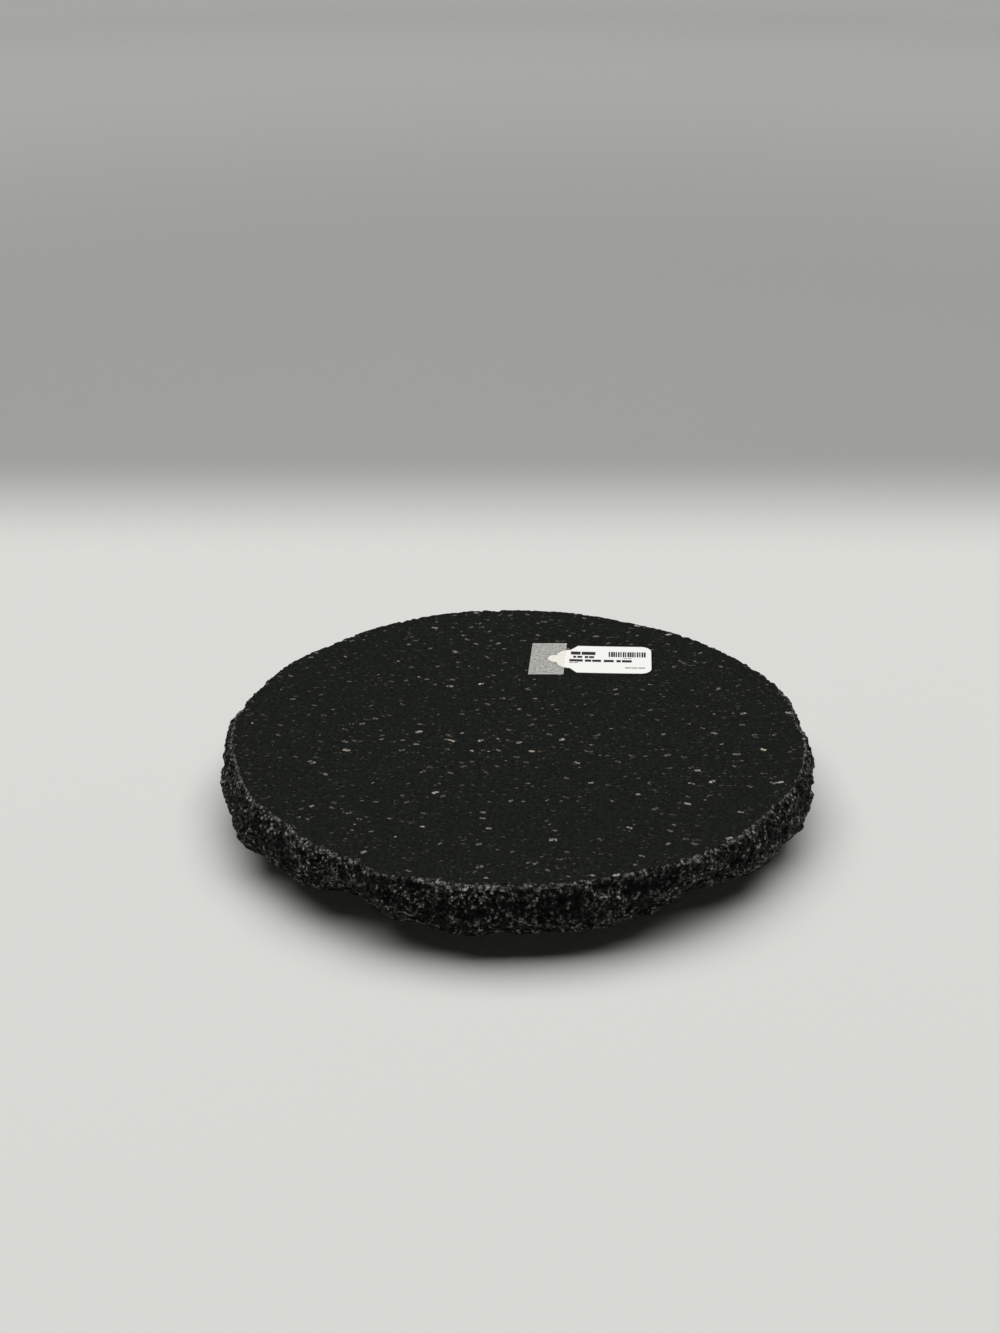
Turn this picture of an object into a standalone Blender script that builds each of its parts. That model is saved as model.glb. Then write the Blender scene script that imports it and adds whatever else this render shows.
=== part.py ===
"""Rough-edged stone turntable on an aluminium ball-bearing ring.

Metres, +Z up. The origin is on the spin axis, on the plane that the rubber feet stand on.
"""

import math

import bmesh
import bpy
from mathutils import Matrix, Vector

MM = 0.001

# Clearances
GAP = 0.3 * MM              # between two pieces that rest on or sit in each other
PAPER_GAP = 0.2 * MM        # under the card tag and under the tape

# Stone slab
SLAB_RADIUS = 147 * MM      # mean radius of the honed top face
SLAB_THICKNESS = 26 * MM
RIM_BULGE = 5 * MM          # how far the broken rim stands out at half its height
RIM_BULGE_SWING = 1 * MM    # how much that varies around the rim
RIM_BULGE_WAVES = 2
SLAB_STEPS = 120
RIM_LEVELS = 6
TOP_PATCH_RADIUS = 45 * MM  # dead flat middle of the honed top face
TOP_FALL = 0.05 * MM        # how far the honing falls away from there to the broken edge

# Where the rim broke off (negative) or stands proud (positive): azimuth and half-width in degrees,
# then how far the top edge and the underside's edge move, in millimetres.
RIM_BREAKS = (
    (3, 7, -2.5, 0.0),
    (20, 13, 1.8, 1.0),
    (63, 14, -1.8, -3.0),
    (104, 20, 1.2, 2.0),
    (136, 14, -1.8, -4.0),
    (160, 14, -1.0, 2.0),
    (195, 16, -1.6, 1.5),
    (208, 8, 0.0, 4.0),
    (217, 8, -2.2, 0.0),
    (237, 9, 0.0, -10.0),
    (246, 8, 4.5, 0.0),
    (260, 8, 1.5, 4.0),
    (289, 9, -0.8, -2.0),
    (305, 15, 0.0, -9.0),
    (324, 12, -2.0, 0.0),
    (340, 10, -0.5, 3.5),
)

# Ball race
BALL_DIAMETER = 4.76 * MM
BALL_COUNT = 24
RACE_GAP = 1.8 * MM         # radial gap between the two rings, which holds the retainer
RETAINER_LIP = 1.2 * MM     # retainer left above and below each ball pocket
GROOVE_STEPS = 6
POCKET_STEPS = 12

# Bearing rings
RING_DIAMETER = 200 * MM    # outside of the outer ring
RING_HEIGHT = 9 * MM
RING_LIFT = 1.4 * MM        # how far the turning ring sits above the standing one
OUTER_RING_WIDTH = 11 * MM
INNER_RING_WIDTH = 14 * MM
RING_CHAMFER = 0.8 * MM
RING_STEPS = 72

# Plug in the hole that the balls go in through
PLUG_AZIMUTH = 30
PLUG_DIAMETER = 5.4 * MM
PLUG_CHAMFER = 0.8 * MM
PLUG_SOCKET_DIAMETER = 2.9 * MM
PLUG_SOCKET_DEPTH = 2.5 * MM
PLUG_RECESS = 0.5 * MM

# Screws through the inner ring, and the plugs in the stone that hold them
SCREW_COUNT = 4
SCREW_START = 45
SCREW_DIAMETER = 4 * MM
SCREW_HEAD_DIAMETER = 7.4 * MM
SCREW_HEAD_HEIGHT = 2.4 * MM
SCREW_HEAD_RECESS = 0.4 * MM
SCREW_SOCKET_DIAMETER = 3.4 * MM
SCREW_SOCKET_DEPTH = 1.5 * MM
SCREW_BITE = 8 * MM         # length of screw inside its anchor
SCREW_POINT = 1 * MM
SCREW_POINT_DIAMETER = 2 * MM
ANCHOR_DIAMETER = 8 * MM
ANCHOR_END = 3 * MM         # solid end of the anchor past the screw
ANCHOR_CHAMFER = 1 * MM

# Rubber feet
FOOT_COUNT = 6
FOOT_DIAMETER = 11 * MM
FOOT_HEIGHT = 5 * MM
FOOT_CHAMFER = 0.6 * MM
STEM_DIAMETER = 4.8 * MM
STEM_LENGTH = 8 * MM
STEM_CHAMFER = 0.8 * MM

# Card tag: a rounded card whose one end narrows over a dome to a round knob
TAG_LENGTH = 57.2 * MM
TAG_WIDTH = 33.2 * MM
TAG_THICKNESS = 0.3 * MM
TAG_CORNER = 6 * MM
TAG_KNOB_RADIUS = 4.3 * MM
TAG_DOME_START = 5 * MM
TAG_DOME_WIDTH = 22.5 * MM
TAG_DOME_END = 12.4 * MM
TAG_SHOULDER_END = 16.4 * MM
TAG_RIM_DISTANCE = 62.7 * MM  # from the slab's nominal edge in to the tip of the knob
TAG_AZIMUTH = 78.2
TAG_TURN = -3.5

# Tape over the tag's knob
TAPE_WIDTH = 19.2 * MM
TAPE_LENGTH = 38.4 * MM
TAPE_THICKNESS = 0.1 * MM
TAPE_TURN = -4.6
TAPE_PAST_TIP = 9.6 * MM    # from the tape's free side to the tip of the knob
TAPE_STEP_START = 1.8 * MM  # the tape climbs on to the card over this stretch before the tip
TAPE_STEP_END = 0.6 * MM

ROUND_STEPS = 16
ARC_STEPS = 6
SMOOTH_ANGLE = 35           # edges that bend by more stay sharp
WELD = 0.001 * MM           # points nearer than this are one point

# Sizes that follow from those above
OUTER_RING_BASE = FOOT_HEIGHT + GAP
INNER_RING_BASE = OUTER_RING_BASE + RING_LIFT
UNDERSIDE = INNER_RING_BASE + RING_HEIGHT + GAP
TOP = UNDERSIDE + SLAB_THICKNESS
RACE_RADIUS = RING_DIAMETER / 2 - OUTER_RING_WIDTH - RACE_GAP / 2
RACE_HEIGHT = (INNER_RING_BASE + OUTER_RING_BASE + RING_HEIGHT) / 2
GROOVE_RADIUS = BALL_DIAMETER / 2 + GAP
OUTER_RING_MIDDLE = RING_DIAMETER / 2 - OUTER_RING_WIDTH / 2
INNER_RING_MIDDLE = RACE_RADIUS - RACE_GAP / 2 - INNER_RING_WIDTH / 2
CUT_MARGIN = 2 * MM         # how far a cutter runs past the face that it opens


def clear_scene():
    for obj in list(bpy.data.objects):
        bpy.data.objects.remove(obj, do_unlink=True)


def material(name, color, roughness, metallic=0.0):
    made = bpy.data.materials.new(name)
    made.use_nodes = True
    shader = made.node_tree.nodes["Principled BSDF"]
    shader.inputs["Base Color"].default_value = (*color, 1.0)
    shader.inputs["Roughness"].default_value = roughness
    shader.inputs["Metallic"].default_value = metallic
    made.diffuse_color = (*color, 1.0)
    return made


def mesh_from(bm, name):
    """Turns a bmesh into a mesh with its normals outward, smooth except at real corners."""
    bmesh.ops.remove_doubles(bm, verts=bm.verts, dist=WELD)
    bmesh.ops.recalc_face_normals(bm, faces=bm.faces)
    mesh = bpy.data.meshes.new(name)
    bm.to_mesh(mesh)
    bm.free()
    mesh.shade_smooth()
    mesh.set_sharp_from_angle(angle=math.radians(SMOOTH_ANGLE))
    return mesh


def add(name, mesh, parent=None, finish=None, matrix=None):
    obj = bpy.data.objects.new(name, mesh)
    bpy.context.scene.collection.objects.link(obj)
    obj.parent = parent
    if matrix is not None:
        obj.matrix_local = matrix
    if finish and mesh and not mesh.materials:
        mesh.materials.append(finish)
    return obj


def turned(profile, steps, closed=False):
    """Spins a profile of (radius, height) points about Z. An open one starts and ends on the axis."""
    bm = bmesh.new()
    verts = [bm.verts.new((radius, 0.0, height)) for radius, height in profile]
    edges = [bm.edges.new(pair) for pair in zip(verts, verts[1:])]
    if closed:
        edges.append(bm.edges.new((verts[-1], verts[0])))
    bmesh.ops.spin(bm, geom=verts + edges, cent=(0, 0, 0), axis=(0, 0, 1), angle=math.tau,
                   steps=steps, use_merge=True)
    # Half a step round, so that the edges of rings and cutters don't fall on one another.
    bmesh.ops.rotate(bm, cent=(0, 0, 0), matrix=Matrix.Rotation(math.pi / steps, 3, "Z"), verts=bm.verts)
    return bm


def cut_hex_socket(bm, radius, floor):
    """Turns the round recess up to a height into a hexagonal one of the same size over its corners."""
    for vert in bm.verts:
        reach = math.hypot(vert.co.x, vert.co.y)
        if 0 < reach <= radius + WELD and vert.co.z <= floor + WELD:
            sector = math.atan2(vert.co.y, vert.co.x) % math.radians(60) - math.radians(30)
            scale = radius * math.cos(math.radians(30)) / math.cos(sector) / reach
            vert.co.x *= scale
            vert.co.y *= scale


def around(count, radius, height, start=0.0):
    """Matrices of count places around the spin axis, each with +X pointing outward."""
    for index in range(count):
        turn = Matrix.Rotation(math.radians(start) + math.tau * index / count, 4, "Z")
        yield turn @ Matrix.Translation((radius, 0, height))


def cut(obj, name, shape, places):
    """Cuts a copy of the shape out of obj at each place."""
    bm = bmesh.new()
    for place in places:
        copy = shape.copy()
        copy.transform(place)
        bm.from_mesh(copy)
        bpy.data.meshes.remove(copy)
    bmesh.ops.recalc_face_normals(bm, faces=bm.faces)
    mesh = bpy.data.meshes.new(name)
    bm.to_mesh(mesh)
    bm.free()
    cutter = add(name, mesh)
    cutter.hide_render = True
    cutter.display_type = "WIRE"
    boolean = obj.modifiers.new(name, "BOOLEAN")
    boolean.operation = "DIFFERENCE"
    boolean.object = cutter


def cylinder(radius, bottom, top, steps=ROUND_STEPS):
    return mesh_from(turned([(0, bottom), (radius, bottom), (radius, top), (0, top)], steps), "cut")


def rim_radius(azimuth, depth):
    """Radius of the rim at an azimuth in degrees and a depth from 0, the top edge, to 1, the underside."""
    top = foot = 0.0
    for centre, half_width, at_top, at_foot in RIM_BREAKS:
        away = abs((azimuth - centre + 180) % 360 - 180)
        if away < half_width:
            bell = math.cos(math.pi / 2 * away / half_width) ** 2
            top += at_top * bell * MM
            foot += at_foot * bell * MM
    share = depth * depth * (3 - 2 * depth)
    bulge = RIM_BULGE + RIM_BULGE_SWING * math.sin(RIM_BULGE_WAVES * math.radians(azimuth))
    return SLAB_RADIUS + top * (1 - share) + foot * share + bulge * 4 * depth * (1 - depth)


def slab_loop(bm, height, radius_at):
    """Adds one closed loop of the slab's points at a height."""
    verts = []
    for index in range(SLAB_STEPS):
        azimuth = 360 * index / SLAB_STEPS
        turn = math.radians(azimuth)
        reach = radius_at(azimuth)
        verts.append(bm.verts.new((reach * math.cos(turn), reach * math.sin(turn), height)))
    edges = [bm.edges.new((verts[index - 1], verts[index])) for index in range(SLAB_STEPS)]
    return edges


def stone_slab(parent, finish):
    bm = bmesh.new()
    loops = [slab_loop(bm, TOP, lambda azimuth: TOP_PATCH_RADIUS)]
    edge = TOP - TOP_FALL
    for level in range(RIM_LEVELS + 1):
        depth = level / RIM_LEVELS
        loops.append(slab_loop(bm, edge - depth * (edge - UNDERSIDE),
                               lambda azimuth, depth=depth: rim_radius(azimuth, depth)))
    for upper, lower in zip(loops, loops[1:]):
        bmesh.ops.bridge_loops(bm, edges=upper + lower)
    for loop in (loops[0], loops[-1]):
        bmesh.ops.contextual_create(bm, geom=loop)
    slab = add("stone_slab", mesh_from(bm, "stone_slab"), parent, finish)
    anchor_hole = cylinder(ANCHOR_DIAMETER / 2 + GAP, -CUT_MARGIN, SCREW_BITE + ANCHOR_END + 2 * GAP)
    cut(slab, "anchor_hole_cutter", anchor_hole,
        around(SCREW_COUNT, INNER_RING_MIDDLE, UNDERSIDE, SCREW_START))


def ring_profile(side, far, bottom, top):
    """Closed section of a bearing ring: grooved face towards the race, chamfered corners away from it.

    side is +1 for the ring outside the race and -1 for the one inside it.
    """
    reach = math.acos(RACE_GAP / 2 / GROOVE_RADIUS)
    face = RACE_RADIUS + side * RACE_GAP / 2
    near_far = far - side * RING_CHAMFER
    points = [(face, bottom)]
    for step in range(GROOVE_STEPS + 1):
        angle = reach * (2 * step / GROOVE_STEPS - 1)
        points.append((RACE_RADIUS + side * GROOVE_RADIUS * math.cos(angle),
                       RACE_HEIGHT + GROOVE_RADIUS * math.sin(angle)))
    points += [(face, top), (near_far, top), (far, top - RING_CHAMFER),
               (far, bottom + RING_CHAMFER), (near_far, bottom)]
    return points


def bearing_inner_ring(parent, finish):
    profile = ring_profile(-1, RACE_RADIUS - RACE_GAP / 2 - INNER_RING_WIDTH,
                           INNER_RING_BASE, INNER_RING_BASE + RING_HEIGHT)
    ring = add("bearing_inner_ring", mesh_from(turned(profile, RING_STEPS, closed=True), "inner_ring"),
               parent, finish)
    head = SCREW_HEAD_DIAMETER / 2 + GAP
    shank = SCREW_DIAMETER / 2 + GAP
    seat = SCREW_HEAD_RECESS + SCREW_HEAD_HEIGHT + GAP
    hole = mesh_from(turned([(0, -CUT_MARGIN), (head, -CUT_MARGIN), (head, seat), (shank, seat),
                             (shank, RING_HEIGHT + CUT_MARGIN), (0, RING_HEIGHT + CUT_MARGIN)],
                            ROUND_STEPS), "screw_hole")
    cut(ring, "screw_hole_cutter", hole, around(SCREW_COUNT, INNER_RING_MIDDLE, INNER_RING_BASE, SCREW_START))


def bearing_outer_ring(parent, finish):
    profile = ring_profile(1, RING_DIAMETER / 2, OUTER_RING_BASE, OUTER_RING_BASE + RING_HEIGHT)
    ring = add("bearing_outer_ring", mesh_from(turned(profile, RING_STEPS, closed=True), "outer_ring"),
               parent, finish)
    stem_hole = cylinder(STEM_DIAMETER / 2 + GAP, -CUT_MARGIN, RING_HEIGHT + CUT_MARGIN)
    cut(ring, "stem_hole_cutter", stem_hole, around(FOOT_COUNT, OUTER_RING_MIDDLE, OUTER_RING_BASE))
    filler_hole = cylinder(PLUG_DIAMETER / 2 + GAP, RACE_RADIUS, RING_DIAMETER / 2 + CUT_MARGIN)
    lay_down = Matrix.Rotation(math.radians(90), 4, "Y")
    turn = Matrix.Rotation(math.radians(PLUG_AZIMUTH), 4, "Z")
    cut(ring, "filler_hole_cutter", filler_hole,
        [turn @ Matrix.Translation((0, 0, RACE_HEIGHT)) @ lay_down])


def ball_filler_plug(parent, finish):
    """Grub screw with its socket outward, so it is turned along -X from its own outer end."""
    outer_end = RING_DIAMETER / 2 - PLUG_RECESS
    length = outer_end - (RACE_RADIUS + GROOVE_RADIUS + GAP)
    radius = PLUG_DIAMETER / 2
    socket = PLUG_SOCKET_DIAMETER / 2
    bm = turned([(0, PLUG_SOCKET_DEPTH), (socket, PLUG_SOCKET_DEPTH), (socket, 0), (radius - PLUG_CHAMFER, 0),
                 (radius, PLUG_CHAMFER), (radius, length), (0, length)], 2 * POCKET_STEPS)
    cut_hex_socket(bm, socket, PLUG_SOCKET_DEPTH)
    point_inward = Matrix.Rotation(math.radians(-90), 4, "Y")
    turn = Matrix.Rotation(math.radians(PLUG_AZIMUTH), 4, "Z")
    add("ball_filler_plug", mesh_from(bm, "ball_filler_plug"), parent, finish,
        turn @ Matrix.Translation((outer_end, 0, RACE_HEIGHT)) @ point_inward)


def ball_retainer(parent, finish):
    half_height = GROOVE_RADIUS + RETAINER_LIP
    inner = RACE_RADIUS - RACE_GAP / 2 + GAP
    outer = RACE_RADIUS + RACE_GAP / 2 - GAP
    profile = [(inner, RACE_HEIGHT - half_height), (outer, RACE_HEIGHT - half_height),
               (outer, RACE_HEIGHT + half_height), (inner, RACE_HEIGHT + half_height)]
    retainer = add("ball_retainer", mesh_from(turned(profile, RING_STEPS, closed=True), "ball_retainer"),
                   parent, finish)
    pocket = cylinder(GROOVE_RADIUS / math.cos(math.pi / POCKET_STEPS), -RACE_GAP, RACE_GAP, POCKET_STEPS)
    pocket.transform(Matrix.Rotation(math.radians(90), 4, "Y"))
    cut(retainer, "pocket_cutter", pocket, around(BALL_COUNT, RACE_RADIUS, RACE_HEIGHT))


def bearing_balls(parent, finish):
    bm = bmesh.new()
    bmesh.ops.create_icosphere(bm, subdivisions=2, radius=BALL_DIAMETER / 2)
    mesh = mesh_from(bm, "bearing_ball")
    for index, place in enumerate(around(BALL_COUNT, RACE_RADIUS, RACE_HEIGHT), 1):
        add(f"bearing_ball_{index:02d}", mesh, parent, finish, place)


def mounting_screws(parent, finish):
    """Screws with their heads down, recessed in the inner ring, and their points up in the anchors."""
    base = INNER_RING_BASE + SCREW_HEAD_RECESS
    head, shank, socket = SCREW_HEAD_DIAMETER / 2, SCREW_DIAMETER / 2, SCREW_SOCKET_DIAMETER / 2
    tip = UNDERSIDE + SCREW_BITE - base
    bm = turned([(0, SCREW_SOCKET_DEPTH), (socket, SCREW_SOCKET_DEPTH), (socket, 0), (head, 0),
                 (head, SCREW_HEAD_HEIGHT), (shank, SCREW_HEAD_HEIGHT), (shank, tip - SCREW_POINT),
                 (SCREW_POINT_DIAMETER / 2, tip), (0, tip)], 2 * POCKET_STEPS)
    cut_hex_socket(bm, socket, SCREW_SOCKET_DEPTH)
    mesh = mesh_from(bm, "mounting_screw")
    for index, place in enumerate(around(SCREW_COUNT, INNER_RING_MIDDLE, base, SCREW_START), 1):
        add(f"mounting_screw_{index}", mesh, parent, finish, place)


def nylon_anchors(parent, finish):
    """Plugs in the stone, open below for the screw."""
    radius, bore = ANCHOR_DIAMETER / 2, SCREW_DIAMETER / 2 + GAP
    depth = SCREW_BITE
    length = depth + ANCHOR_END
    mesh = mesh_from(turned([(0, depth), (bore, depth), (bore, 0), (radius, 0),
                             (radius, length - ANCHOR_CHAMFER), (radius - ANCHOR_CHAMFER, length),
                             (0, length)], ROUND_STEPS), "nylon_anchor")
    places = around(SCREW_COUNT, INNER_RING_MIDDLE, UNDERSIDE + GAP, SCREW_START)
    for index, place in enumerate(places, 1):
        add(f"nylon_anchor_{index}", mesh, parent, finish, place)


def rubber_feet(parent, finish):
    """Pads with a stem that pushes up into the outer ring."""
    pad, stem = FOOT_DIAMETER / 2, STEM_DIAMETER / 2
    top = FOOT_HEIGHT + STEM_LENGTH
    mesh = mesh_from(turned([(0, 0), (pad - FOOT_CHAMFER, 0), (pad, FOOT_CHAMFER), (pad, FOOT_HEIGHT),
                             (stem, FOOT_HEIGHT), (stem, top - STEM_CHAMFER), (stem - STEM_CHAMFER, top),
                             (0, top)], ROUND_STEPS), "rubber_foot")
    for index, place in enumerate(around(FOOT_COUNT, OUTER_RING_MIDDLE, 0), 1):
        add(f"rubber_foot_{index}", mesh, parent, finish, place)


def arc(centre_x, centre_y, radius, start, end):
    """Points along an arc; the angles are in degrees."""
    for step in range(ARC_STEPS + 1):
        angle = math.radians(start + (end - start) * step / ARC_STEPS)
        yield centre_x + radius * math.cos(angle), centre_y + radius * math.sin(angle)


def tag_place():
    """Matrix of the tag: its origin at the tip of the knob, on the slab's top, +X along the tag."""
    reach = SLAB_RADIUS - TAG_RIM_DISTANCE
    turn = math.radians(TAG_AZIMUTH)
    tip = Vector((reach * math.cos(turn), reach * math.sin(turn), TOP))
    return Matrix.Translation(tip) @ Matrix.Rotation(math.radians(TAG_TURN), 4, "Z")


def price_tag(parent, finish):
    half, knob, dome = TAG_WIDTH / 2, TAG_KNOB_RADIUS, TAG_DOME_WIDTH / 2
    side = list(arc(knob, 0, knob, 180, 90))
    dome_radius = TAG_DOME_END - TAG_DOME_START
    side += [(TAG_DOME_END - dome_radius * math.cos(turn), knob + (dome - knob) * math.sin(turn))
             for turn in (math.pi / 2 * step / ARC_STEPS for step in range(ARC_STEPS + 1))]
    side.append((TAG_SHOULDER_END, half))
    side += arc(TAG_LENGTH - TAG_CORNER, half - TAG_CORNER, TAG_CORNER, 90, 0)
    outline = side + [(x, -y) for x, y in reversed(side[1:])]
    bm = bmesh.new()
    face = bm.faces.new([bm.verts.new((x, y, PAPER_GAP)) for x, y in outline])
    made = bmesh.ops.extrude_face_region(bm, geom=[face], use_keep_orig=True)
    raised = [item for item in made["geom"] if isinstance(item, bmesh.types.BMVert)]
    bmesh.ops.translate(bm, verts=raised, vec=(0, 0, TAG_THICKNESS))
    add("price_tag", mesh_from(bm, "price_tag"), parent, finish, tag_place())


def tag_tape(parent, finish):
    """A strip that lies on the stone on one side of the knob's tip and climbs on to the card at the other."""
    low = PAPER_GAP
    high = 2 * PAPER_GAP + TAG_THICKNESS
    left = -TAPE_PAST_TIP
    section = [(left, low), (-TAPE_STEP_START, low), (-TAPE_STEP_END, high), (left + TAPE_WIDTH, high)]
    bm = bmesh.new()
    lower = [bm.verts.new((x, -TAPE_LENGTH / 2, z)) for x, z in section]
    upper = [bm.verts.new((x, -TAPE_LENGTH / 2, z + TAPE_THICKNESS)) for x, z in section]
    ends = [bm.faces.new((lower[i], lower[i + 1], upper[i + 1], upper[i])) for i in range(len(section) - 1)]
    made = bmesh.ops.extrude_face_region(bm, geom=ends, use_keep_orig=True)
    far = [item for item in made["geom"] if isinstance(item, bmesh.types.BMVert)]
    bmesh.ops.translate(bm, verts=far, vec=(0, TAPE_LENGTH, 0))
    turn = Matrix.Rotation(math.radians(TAPE_TURN - TAG_TURN), 4, "Z")
    add("tag_tape", mesh_from(bm, "tag_tape"), parent, finish, tag_place() @ turn)


def main():
    clear_scene()
    stone = material("honed_black_stone", (0.022, 0.024, 0.021), 0.5)
    aluminium = material("aluminium", (0.72, 0.73, 0.74), 0.35, metallic=1.0)
    steel = material("bearing_steel", (0.62, 0.62, 0.63), 0.15, metallic=1.0)
    zinc = material("zinc_plated_steel", (0.55, 0.56, 0.57), 0.3, metallic=1.0)
    nylon = material("nylon", (0.78, 0.76, 0.7), 0.5)
    rubber = material("rubber", (0.02, 0.02, 0.02), 0.8)
    card = material("coated_card", (0.85, 0.84, 0.81), 0.5)
    film = material("frosted_film", (0.55, 0.56, 0.53), 0.4)

    base = add("base", None)
    turntable = add("turntable", None)
    ball_cage = add("ball_cage", None)

    bearing_outer_ring(base, aluminium)
    ball_filler_plug(base, zinc)
    rubber_feet(base, rubber)

    stone_slab(turntable, stone)
    bearing_inner_ring(turntable, aluminium)
    mounting_screws(turntable, zinc)
    nylon_anchors(turntable, nylon)
    price_tag(turntable, card)
    tag_tape(turntable, film)

    ball_retainer(ball_cage, nylon)
    bearing_balls(ball_cage, steel)


main()
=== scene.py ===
"""Looks of a rough-edged black stone turntable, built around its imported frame."""

import logging
import math
from dataclasses import dataclass, field
from enum import Enum
from typing import Any, ClassVar, Iterable, Sequence

import bmesh
import bpy
from mathutils import Matrix, Vector, noise
from mathutils.bvhtree import BVHTree
from mathutils.kdtree import KDTree


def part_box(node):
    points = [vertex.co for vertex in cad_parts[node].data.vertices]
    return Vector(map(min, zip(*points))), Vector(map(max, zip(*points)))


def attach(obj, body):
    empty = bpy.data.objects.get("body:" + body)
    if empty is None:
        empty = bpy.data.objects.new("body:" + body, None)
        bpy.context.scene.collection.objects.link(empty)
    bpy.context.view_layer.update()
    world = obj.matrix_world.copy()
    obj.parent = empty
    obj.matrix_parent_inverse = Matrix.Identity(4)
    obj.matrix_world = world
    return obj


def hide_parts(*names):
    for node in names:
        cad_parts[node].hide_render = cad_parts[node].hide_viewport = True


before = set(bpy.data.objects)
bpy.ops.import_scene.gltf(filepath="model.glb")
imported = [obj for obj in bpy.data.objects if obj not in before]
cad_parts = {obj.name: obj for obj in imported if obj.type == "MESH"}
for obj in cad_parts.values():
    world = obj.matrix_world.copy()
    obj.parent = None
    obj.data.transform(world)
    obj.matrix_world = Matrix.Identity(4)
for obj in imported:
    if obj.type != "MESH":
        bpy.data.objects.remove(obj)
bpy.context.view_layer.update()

MM = 0.001
MERGE = 0.001 * MM
log = logging.getLogger("turntable")

Colour = tuple[float, float, float, float]


class Body(Enum):
    """The bodies that pieces ride on."""

    BASE = "base"
    TURNTABLE = "turntable"
    CAGE = "ball_cage"


class Slot(Enum):
    """The record's material slot names; no piece here is given one."""

    STONE = "stone"
    CARD = "tag_card"
    FILM = "tape_film"
    ALUMINIUM = "aluminium"
    BEARING_STEEL = "bearing_steel"
    RUBBER = "rubber"


# ---------------------------------------------------------------- small tools


def linear(code: str) -> Colour:
    """Turns an sRGB hex colour to linear.

    Args:
        code: Six hex digits, with or without a leading #.

    Returns:
        Linear red, green and blue, and an alpha of 1.
    """
    parts = [int(code.lstrip("#")[i:i + 2], 16) / 255 for i in (0, 2, 4)]
    red, green, blue = (c / 12.92 if c <= 0.04045 else ((c + 0.055) / 1.055) ** 2.4 for c in parts)
    return red, green, blue, 1.0


def add_node(tree: bpy.types.NodeTree, kind: str, inputs: dict[Any, Any] | None = None,
             **settings: Any) -> bpy.types.Node:
    """Adds one shader node with its settings, values and links.

    Args:
        tree: The material's node tree.
        kind: The node type after "ShaderNode".
        inputs: Input name or index to a value, or to the output socket that feeds it.
        settings: Properties of the node itself.

    Returns:
        The new node.
    """
    node = tree.nodes.new("ShaderNode" + kind)
    for name, value in settings.items():
        setattr(node, name, value)
    for key, value in (inputs or {}).items():
        if isinstance(value, bpy.types.NodeSocket):
            tree.links.new(value, node.inputs[key])
        else:
            node.inputs[key].default_value = value
    return node


def smoothstep(low: float, high: float, value: float) -> float:
    """Rises smoothly from 0 at low to 1 at high, or falls where low is the greater."""
    share = min(max((value - low) / (high - low), 0.0), 1.0)
    return share * share * (3 - 2 * share)


def mix(a: float, b: float, share: float) -> float:
    """The value at a share of the way from a to b."""
    return a + (b - a) * share


def centre_of(node: str) -> Vector:
    """Middle of a frame node's box."""
    low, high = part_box(node)
    return (low + high) / 2


def turned(profile: Sequence[tuple[float, float]], steps: int, closed: bool = False) -> bmesh.types.BMesh:
    """Spins a section about Z.

    Args:
        profile: Points of (radius, height). An open section starts and ends on the axis.
        steps: Steps in the full turn.
        closed: Whether the last point joins the first.

    Returns:
        The turned shape, with its normals outward.
    """
    bm = bmesh.new()
    verts = [bm.verts.new((radius, 0.0, height)) for radius, height in profile]
    edges = [bm.edges.new(pair) for pair in zip(verts, verts[1:])]
    if closed:
        edges.append(bm.edges.new((verts[-1], verts[0])))
    bmesh.ops.spin(bm, geom=verts + edges, cent=(0, 0, 0), axis=(0, 0, 1), angle=math.tau,
                   steps=steps, use_merge=True)
    bmesh.ops.remove_doubles(bm, verts=bm.verts, dist=MERGE / 2)
    bmesh.ops.recalc_face_normals(bm, faces=bm.faces)
    return bm


def rounded(points: Sequence[tuple[float, float]], radius: float,
            segments: int = 3) -> list[tuple[float, float]]:
    """Rounds the corners of an open section, leaving its two ends.

    Args:
        points: Points of (radius, height).
        radius: Length cut from each side of a corner, limited to a third of the side.
        segments: Segments in each corner.

    Returns:
        The section with its corners rounded.
    """
    made = [points[0]]
    for before, corner, after in zip(points, points[1:], points[2:]):
        here = Vector(corner)
        sides = [Vector(before) - here, Vector(after) - here]
        first, last = (here + side.normalized() * min(radius, side.length / 3) for side in sides)
        for step in range(segments + 1):
            share = step / segments
            point = first.lerp(here, share).lerp(here.lerp(last, share), share)
            made.append((point.x, point.y))
    made.append(points[-1])
    return made


def finish_piece(name: str, bm: bmesh.types.BMesh, body: Body, replaces: Sequence[str],
                 materials: Sequence[bpy.types.Material], sharp: float = 35.0) -> bpy.types.Object:
    """Makes a piece from a shape, and ties it to the frame.

    Args:
        name: The piece's name.
        bm: Its shape, which is freed.
        body: The body it moves with.
        replaces: The frame nodes it stands for.
        materials: Its materials, in the order of the faces' material numbers.
        sharp: Edges that bend by more than this many degrees stay sharp.

    Returns:
        The piece.
    """
    mesh = bpy.data.meshes.new(name)
    bm.to_mesh(mesh)
    bm.free()
    mesh.shade_smooth()
    mesh.set_sharp_from_angle(angle=math.radians(sharp))
    for material in materials:
        mesh.materials.append(material)
    piece = bpy.data.objects.new(name, mesh)
    bpy.context.scene.collection.objects.link(piece)
    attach(piece, body.value)
    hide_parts(*replaces)
    log.info("%s: %d faces, on %s", name, len(mesh.polygons), body.value)
    return piece


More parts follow.
